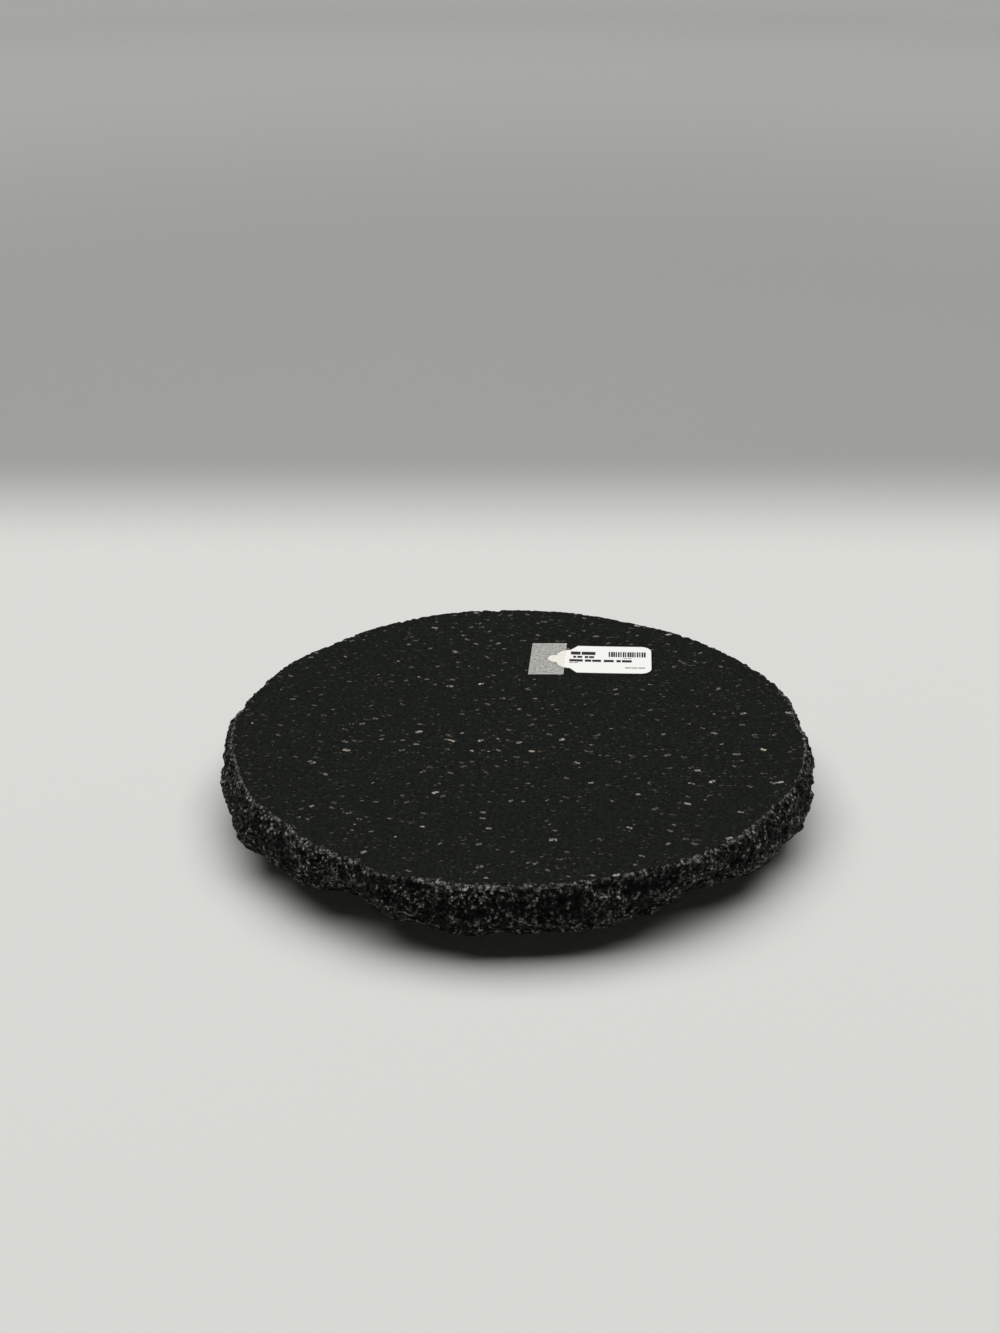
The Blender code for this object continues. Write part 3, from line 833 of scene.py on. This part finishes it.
@dataclass
class PriceTag:
    """A card tag with a round knob at one end. Its print is plain bars that spell nothing.

    Words and stripes are given in millimetres from the knob's tip and from the middle of the card, each as
    low x, high x, low y and high y.
    """

    turn: float = -3.5
    corner: float = 6 * MM
    knob: float = 4.3 * MM
    dome_start: float = 5 * MM
    dome_end: float = 12.4 * MM
    dome_half: float = 11.25 * MM
    shoulder_end: float = 16.4 * MM
    arc_steps: int = 16
    held_length: float = 14 * MM
    lift: float = 0.45 * MM
    thickness: float = 0.28 * MM
    strip: float = 1.5 * MM
    rest_gap: float = 0.03 * MM
    words: tuple[tuple[float, float, float, float], ...] = (
        (12.6, 18.0, 5.4, 9.3), (18.6, 26.3, 5.4, 9.3),
        (14.0, 15.7, 1.4, 4.0), (16.3, 19.0, 1.4, 4.0), (20.4, 22.4, 1.4, 4.0), (22.8, 25.6, 1.4, 4.0),
        (12.0, 19.4, -3.2, -0.3), (20.6, 24.1, -3.2, -0.3), (24.6, 29.5, -3.2, -0.3),
        (31.0, 36.5, -3.2, -0.3), (38.0, 40.4, -3.2, -0.3), (41.0, 46.4, -3.2, -0.3),
        (12.0, 14.2, -4.8, -4.0), (14.6, 16.9, -4.8, -4.0),
        (41.6, 43.8, 1.4, 2.0), (44.2, 46.4, 1.4, 2.0),
        (42.7, 45.8, -10.4, -9.4), (46.2, 49.5, -10.4, -9.4), (49.9, 53.7, -10.4, -9.4),
    )
    stripes: tuple[float, float, float, float] = (33.6, 54.7, 3.3, 9.7)
    stripe_pitch: float = 1.3
    stripe_share: float = 0.7
    stripe_vary: float = 0.45

    def __post_init__(self) -> None:
        """Finds the tag's place and size in the frame, and puts it down on the stone."""
        place, size = flat_place("price_tag", self.turn)
        self.length, self.half = size.x, size.y / 2
        drop = stone_top() + self.rest_gap - place.translation.z
        self.place = Matrix.Translation((0, 0, drop)) @ place

    def side(self) -> list[tuple[float, float]]:
        """Draws half of the card's outline.

        Returns:
            Points from the knob's tip round to the far end's corner, with y above 0.
        """
        quarter = [math.pi / 2 * step / self.arc_steps for step in range(self.arc_steps + 1)]
        knob = [(self.knob * (1 - math.cos(turn)), self.knob * math.sin(turn)) for turn in quarter]
        rise, run = self.dome_half - self.knob, self.dome_end - self.dome_start
        dome = [(self.dome_end - run * math.cos(turn), self.knob + rise * math.sin(turn)) for turn in quarter]
        inset = (self.length - self.corner, self.half - self.corner)
        corner = [(inset[0] + self.corner * math.sin(turn), inset[1] + self.corner * math.cos(turn))
                  for turn in quarter]
        return knob + dome + [(self.shoulder_end, self.half)] + corner

    def outline(self) -> list[tuple[float, float]]:
        """The whole outline of the card, once round."""
        side = self.side()
        return side + [(x, -y) for x, y in reversed(side[1:])]

    def bars(self) -> list[tuple[float, float, float, float]]:
        """Lists every printed bar.

        Returns:
            Low x, high x, low y and high y of each, in metres along and across the card.
        """
        left, right, low, high = self.stripes
        made = list(self.words)
        for index in range(int((right - left) / self.stripe_pitch)):
            start = left + index * self.stripe_pitch
            vary = self.stripe_vary * noise.noise((3.1 * start, 0.5, 0.5))
            width = self.stripe_pitch * (self.stripe_share + vary)
            made.append((start, start + width, low, high))
        return [tuple(value * MM for value in bar) for bar in made]

    def rise(self, along: float) -> float:
        """Height of the card's underside over its lowest, where its free end springs up."""
        share = max(0.0, (along - self.held_length) / (self.length - self.held_length))
        return self.lift * share * share

    def build(self) -> bmesh.types.BMesh:
        """Shapes the card, sliced along the edges of its print so that the ink has faces of its own.

        Returns:
            The card, with its print's faces in the second material.
        """
        bm = bmesh.new()
        bmesh.ops.contextual_create(bm, geom=[bm.verts.new((x, y, 0)) for x, y in self.outline()])
        bars = self.bars()
        slices = {index * self.strip for index in range(1, int(self.length / self.strip))}
        across = sorted(slices | {edge for bar in bars for edge in bar[:2]})
        along = sorted({edge for bar in bars for edge in bar[2:]})
        for axis, edges in ((Vector((1, 0, 0)), across), (Vector((0, 1, 0)), along)):
            for edge in edges:
                bmesh.ops.bisect_plane(bm, geom=bm.verts[:] + bm.edges[:] + bm.faces[:], dist=MERGE,
                                       plane_co=axis * edge, plane_no=axis)
        bmesh.ops.recalc_face_normals(bm, faces=bm.faces)
        bmesh.ops.solidify(bm, geom=bm.faces[:], thickness=self.thickness)
        bmesh.ops.recalc_face_normals(bm, faces=bm.faces)
        lowest = min(vert.co.z for vert in bm.verts)
        for face in bm.faces:
            middle = face.calc_center_median()
            printed = any(bar[0] < middle.x < bar[1] and bar[2] < middle.y < bar[3] for bar in bars)
            face.material_index = int(printed and face.normal.z > 0.5)
        for vert in bm.verts:
            vert.co.z += self.rise(vert.co.x) - lowest
        bmesh.ops.transform(bm, matrix=self.place, verts=bm.verts)
        return bm

    def dress(self) -> bpy.types.Object:
        """Builds the tag in card and ink."""
        return finish_piece("printed_card_tag", self.build(), Body.TURNTABLE, ["price_tag"],
                            [CARD.build(), INK.build()])


@dataclass
class TapeStrip:
    """Office tape across the tag's knob, draped over the card's edge, with toothed ends."""

    tag: PriceTag
    turn: float = -4.6
    thickness: float = 0.06 * MM
    columns: int = 96
    rows: int = 130
    tooth_pitch: float = 1.6 * MM
    tooth_depth: float = 0.5 * MM
    bridge: float = 1.1 * MM
    gap: float = 0.1 * MM
    skew: float = 4.6
    torn: float = 0.7 * MM
    rest_gap: float = 0.05 * MM
    ripple: float = 0.04 * MM
    ripple_size: float = 5 * MM

    def __post_init__(self) -> None:
        """Finds the strip's place and size in the frame, and a tree of the card's outline."""
        self.place, self.size = flat_place("tag_tape", self.turn)
        self.place.translation.z = stone_top() + self.rest_gap
        outline = self.tag.outline()
        ends = list(zip(outline, outline[1:] + outline[:1]))
        points = [Vector((*start, 0)).lerp(Vector((*end, 0)), share / 8)
                  for start, end in ends for share in range(8)]
        self.edge = KDTree(len(points))
        for index, point in enumerate(points):
            self.edge.insert(point, index)
        self.edge.balance()

    def outside(self, point: Vector) -> float:
        """Measures how far off the card a point is.

        Args:
            point: A place in the card's own coordinates.

        Returns:
            Its distance from the card's outline, or 0 on the card.
        """
        side = self.tag.side()
        for (x0, y0), (x1, y1) in zip(side, side[1:]):
            if x0 <= point.x < x1 and abs(point.y) < mix(y0, y1, (point.x - x0) / (x1 - x0)):
                return 0.0
        return self.edge.find(Vector((point.x, point.y, 0)))[2]

    def height(self, place: Vector) -> float:
        """Finds how high the film lies.

        Args:
            place: A place in the frame.

        Returns:
            The film's height over the stone there.
        """
        card = self.tag.place.inverted() @ place
        on_card = 1 - smoothstep(0.0, self.bridge, self.outside(card))
        ripple = self.ripple * (1 + noise.noise(place / self.ripple_size))
        return on_card * (self.tag.thickness + self.gap + self.tag.rise(card.x)) + ripple

    def build(self) -> bmesh.types.BMesh:
        """Cuts the strip, drapes it and gives it its thickness.

        Returns:
            The strip.
        """
        bm = bmesh.new()
        bmesh.ops.create_grid(bm, x_segments=self.columns, y_segments=self.rows, size=0.5)
        bmesh.ops.transform(bm, verts=bm.verts, matrix=Matrix.Translation((self.size.x / 2, 0, 0))
                            @ Matrix.Diagonal((self.size.x, self.size.y, 1, 1)))
        last_row = self.size.y / 2 - 0.5 * self.size.y / self.rows
        on_card = bm.verts.layers.float.new("on_card")
        torn = bm.verts.layers.float.new("torn")
        for vert in bm.verts:
            vert[torn] = 1 - smoothstep(0.0, self.torn, self.size.y / 2 - abs(vert.co.y))
            if abs(vert.co.y) > last_row:
                phase = (vert.co.x / self.tooth_pitch) % 1.0
                vert.co.y += math.copysign(self.tooth_depth * (abs(2 * phase - 1) - 0.5), vert.co.y)
            vert.co.y += math.tan(math.radians(self.skew)) * (vert.co.x - self.size.x / 2)
        bmesh.ops.transform(bm, matrix=self.place, verts=bm.verts)
        for vert in bm.verts:
            card = self.tag.place.inverted() @ vert.co
            vert[on_card] = 1 - smoothstep(0.0, self.bridge, self.outside(card))
            vert.co.z += self.height(vert.co)
        bmesh.ops.recalc_face_normals(bm, faces=bm.faces)
        bmesh.ops.solidify(bm, geom=bm.faces[:], thickness=self.thickness)
        bmesh.ops.recalc_face_normals(bm, faces=bm.faces)
        return bm

    def dress(self) -> bpy.types.Object:
        """Builds the strip in frosted film."""
        return finish_piece("draped_tape_strip", self.build(), Body.TURNTABLE, ["tag_tape"],
                            [FrostedFilm().build()])


# -------------------------------------------------------------------- bearing


def stone_top() -> float:
    """Height of the slab's honed face."""
    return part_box("stone_slab")[1].z


def reach_of(node: str) -> tuple[float, float]:
    """Least and greatest distance of a node's points from the spin axis."""
    reaches = [math.hypot(vert.co.x, vert.co.y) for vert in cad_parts[node].data.vertices]
    return min(reaches), max(reaches)


@dataclass
class BearingRing:
    """One of the two aluminium rings, grooved towards the race and eased at its other corners."""

    node: str
    body: Body
    outside_race: bool
    holes: tuple[bmesh.types.BMesh, ...]
    clearance: float = 0.3 * MM
    chamfer: float = 0.8 * MM
    ease: float = 0.35 * MM
    groove_steps: int = 14
    steps: int = 288

    def profile(self) -> list[tuple[float, float]]:
        """Draws the ring's section.

        Returns:
            A closed line of points, as radius and height.
        """
        ball = centre_of("bearing_ball_01")
        race, middle = math.hypot(ball.x, ball.y), ball.z
        low_ball, high_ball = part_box("bearing_ball_01")
        groove = (high_ball.z - low_ball.z) / 2 + self.clearance
        inner, outer = reach_of(self.node)
        low, high = (corner.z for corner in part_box(self.node))
        side = 1 if self.outside_race else -1
        face, far = (inner, outer) if self.outside_race else (outer, inner)
        reach = math.acos(abs(face - race) / groove)
        points = [(face, low)]
        for step in range(self.groove_steps + 1):
            angle = reach * (2 * step / self.groove_steps - 1)
            points.append((race + side * groove * math.cos(angle), middle + groove * math.sin(angle)))
        back = [(face, high), (far - side * self.chamfer, high), (far, high - self.chamfer),
                (far, low + self.chamfer), (far - side * self.chamfer, low), (face, low)]
        return points + rounded(back, self.ease)[:-1]

    def build(self) -> bmesh.types.BMesh:
        """Turns the ring and drills its holes."""
        return cut_holes(turned(self.profile(), self.steps, closed=True), self.holes)

    def dress(self, finish: bpy.types.Material) -> bpy.types.Object:
        """Builds the ring in a finish."""
        return finish_piece(f"turned_{self.node}", self.build(), self.body, [self.node],
                            [finish])


@dataclass
class Bearing:
    """Both rings of the bearing with their holes, and the balls between them."""

    hole_steps: int = 40
    clearance: float = 0.3 * MM
    margin: float = 2 * MM
    screw_head: float = 3.7 * MM
    screw_shank: float = 2.0 * MM
    screw_seat: float = 3.1 * MM
    ball_detail: int = 4
    feet: tuple[str, ...] = tuple(f"rubber_foot_{index}" for index in range(1, 7))
    screws: tuple[str, ...] = tuple(f"mounting_screw_{index}" for index in range(1, 5))
    balls: tuple[str, ...] = tuple(f"bearing_ball_{index:02d}" for index in range(1, 25))

    def stepped_hole(self, node: str, steps: Sequence[tuple[float, float, float]]) -> bmesh.types.BMesh:
        """Makes a cutter on a node's own axis.

        Args:
            node: The node that sits in the hole.
            steps: Radius, lowest height and highest height of each part, from the bottom up.

        Returns:
            The cutter.
        """
        profile = [(0.0, steps[0][1])]
        for radius, low, high in steps:
            profile += [(radius, low), (radius, high)]
        hole = turned(profile + [(0.0, steps[-1][2])], self.hole_steps)
        middle = centre_of(node)
        bmesh.ops.translate(hole, verts=hole.verts, vec=(middle.x, middle.y, 0))
        return hole

    def stem_holes(self) -> tuple[bmesh.types.BMesh, ...]:
        """Makes the holes that the feet push into.

        Returns:
            One cutter for each foot.
        """
        low, high = (corner.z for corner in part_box("bearing_outer_ring"))
        stem = RubberFoot.stem + self.clearance
        return tuple(self.stepped_hole(foot, [(stem, low - self.margin, high + self.margin)])
                     for foot in self.feet)

    def filler_hole(self) -> bmesh.types.BMesh:
        """Makes the radial hole that the balls go in through.

        Returns:
            Its cutter.
        """
        middle = centre_of("ball_filler_plug")
        low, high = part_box("ball_filler_plug")
        radius = (high.z - low.z) / 2 + self.clearance
        start, end = reach_of("bearing_outer_ring")
        hole = turned([(0, start - self.margin), (radius, start - self.margin),
                       (radius, end + self.margin), (0, end + self.margin)], self.hole_steps)
        turn = Matrix.Rotation(math.atan2(middle.y, middle.x), 4, "Z")
        bmesh.ops.transform(hole, verts=hole.verts, matrix=turn @ Matrix.Translation((0, 0, middle.z))
                            @ Matrix.Rotation(math.radians(90), 4, "Y"))
        return hole

    def screw_holes(self) -> tuple[bmesh.types.BMesh, ...]:
        """Makes the counterbored holes of the screws.

        Returns:
            One cutter for each screw.
        """
        low, high = (corner.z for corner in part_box("bearing_inner_ring"))
        head = self.screw_head + self.clearance
        shank = self.screw_shank + self.clearance
        seat = low + self.screw_seat
        steps = [(head, low - self.margin, seat), (shank, seat, high + self.margin)]
        return tuple(self.stepped_hole(screw, steps) for screw in self.screws)

    def build_balls(self) -> bmesh.types.BMesh:
        """Makes every ball.

        Returns:
            All the balls in one shape.
        """
        bm = bmesh.new()
        for node in self.balls:
            low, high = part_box(node)
            bmesh.ops.create_icosphere(bm, subdivisions=self.ball_detail, radius=(high.z - low.z) / 2,
                                       matrix=Matrix.Translation(centre_of(node)))
        return bm

    def dress(self) -> None:
        """Builds the rings and the balls."""
        aluminium = TurnedAluminium().build()
        BearingRing("bearing_outer_ring", Body.BASE, True,
                    (*self.stem_holes(), self.filler_hole())).dress(aluminium)
        BearingRing("bearing_inner_ring", Body.TURNTABLE, False, self.screw_holes()).dress(aluminium)
        finish_piece("polished_balls", self.build_balls(), Body.CAGE, self.balls,
                     [BALL_STEEL.build()])


@dataclass
class RubberFoot:
    """A moulded pad with a stem that pushes up into the outer ring."""

    node: str
    stem: ClassVar[float] = 2.4 * MM
    pad_height: ClassVar[float] = 5 * MM
    ease: ClassVar[float] = 0.9 * MM
    stem_chamfer: ClassVar[float] = 0.8 * MM
    steps: ClassVar[int] = 64

    def build(self) -> bmesh.types.BMesh:
        """Turns the foot and puts it in its place.

        Returns:
            The foot.
        """
        low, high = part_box(self.node)
        middle = centre_of(self.node)
        pad = (high.x - low.x) / 2
        shoulder = low.z + self.pad_height
        tip = self.stem - self.stem_chamfer
        section = [(0, low.z), (pad, low.z), (pad, shoulder), (self.stem, shoulder),
                   (self.stem, high.z - self.stem_chamfer), (tip, high.z), (0, high.z)]
        bm = turned(rounded(section, self.ease), self.steps)
        bmesh.ops.translate(bm, verts=bm.verts, vec=(middle.x, middle.y, 0))
        return bm

    def dress(self, finish: bpy.types.Material) -> bpy.types.Object:
        """Builds the foot in a finish."""
        return finish_piece(f"moulded_{self.node}", self.build(), Body.BASE, [self.node],
                            [finish])


@dataclass
class SmallHardware:
    """The frame's own screws, anchors, plug and retainer, which keep their shapes."""

    finishes: tuple[tuple[str, PlainFinish], ...] = (
        ("mounting_screw_", ZINC), ("ball_filler_plug", ZINC),
        ("nylon_anchor_", NYLON), ("ball_retainer", NYLON))

    def dress(self) -> None:
        """Gives each of those nodes its finish."""
        built = {finish.name: finish.build() for _, finish in self.finishes}
        for name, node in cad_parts.items():
            for start, finish in self.finishes:
                if name.startswith(start):
                    node.data.materials.clear()
                    node.data.materials.append(built[finish.name])
                    log.info("%s: finished in %s", name, finish.name)


# --------------------------------------------------------------------- studio


@dataclass
class Studio:
    """Pale round floor, soft overhead light and the camera. Distances without MM are in metres."""

    lens: float = 51.99
    camera_side: float = -9.2 * MM
    camera_back: float = 874.0 * MM
    camera_rise: float = 470.8 * MM
    camera_dip: float = 26.44
    floor_radius: float = 2.9
    cove_radius: float = 0.6
    cove_steps: int = 24
    wall_rise: float = 1.35
    turn_steps: int = 128
    sensor: float = 36.0
    light_x: float = -0.15
    light_y: float = 0.45
    light_rise: float = 4.05
    light_size: tuple[float, float] = (6.1, 4.5)
    light_power: float = 257.0
    room: str = "b9bbb8"
    room_strength: float = 0.01

    def camera(self) -> None:
        """Places the camera above and in front of the slab."""
        lens = bpy.data.cameras.new("camera")
        lens.lens = self.lens
        lens.sensor_width = self.sensor
        camera = bpy.data.objects.new("camera", lens)
        camera.location = (self.camera_side, -self.camera_back, stone_top() + self.camera_rise)
        camera.rotation_euler = (math.radians(90 - self.camera_dip), 0, 0)
        bpy.context.scene.collection.objects.link(camera)
        bpy.context.scene.camera = camera

    def light(self) -> None:
        """Hangs one wide soft light overhead, facing straight down."""
        lamp = bpy.data.lights.new("overhead", "AREA")
        lamp.shape = "RECTANGLE"
        lamp.size, lamp.size_y = self.light_size
        lamp.energy = self.light_power
        holder = bpy.data.objects.new("overhead", lamp)
        holder.location = (self.light_x, self.light_y, self.light_rise)
        bpy.context.scene.collection.objects.link(holder)

    def floor(self) -> None:
        """Makes the round floor, which curves up into a wall all round."""
        line = [(0.0, 0.0), (self.floor_radius, 0.0)]
        for step in range(1, self.cove_steps + 1):
            angle = math.pi / 2 * step / self.cove_steps
            line.append((self.floor_radius + self.cove_radius * math.sin(angle),
                         self.cove_radius * (1 - math.cos(angle))))
        line.append((self.floor_radius + self.cove_radius, self.wall_rise))
        bm = turned(line, self.turn_steps)
        mesh = bpy.data.meshes.new("floor")
        bm.to_mesh(mesh)
        bm.free()
        mesh.shade_smooth()
        mesh.materials.append(FloorBoard().build())
        floor = bpy.data.objects.new("floor", mesh)
        bpy.context.scene.collection.objects.link(floor)

    def build(self) -> None:
        """Sets up the studio."""
        self.camera()
        self.floor()
        self.light()
        world = bpy.data.worlds.new("room")
        world.use_nodes = True
        background = world.node_tree.nodes["Background"]
        background.inputs["Color"].default_value = linear(self.room)
        background.inputs["Strength"].default_value = self.room_strength
        scene = bpy.context.scene
        scene.world = world
        scene.view_settings.view_transform = "Standard"


def main() -> None:
    """Builds the turntable and its studio in order."""
    logging.basicConfig(level=logging.INFO, format="%(name)s: %(message)s")
    Studio().build()
    StoneSlab().dress()
    tag = PriceTag()
    tag.dress()
    TapeStrip(tag).dress()
    bearing = Bearing()
    bearing.dress()
    rubber = RUBBER.build()
    for foot in bearing.feet:
        RubberFoot(foot).dress(rubber)
    SmallHardware().dress()


if __name__ == "__main__":
    main()
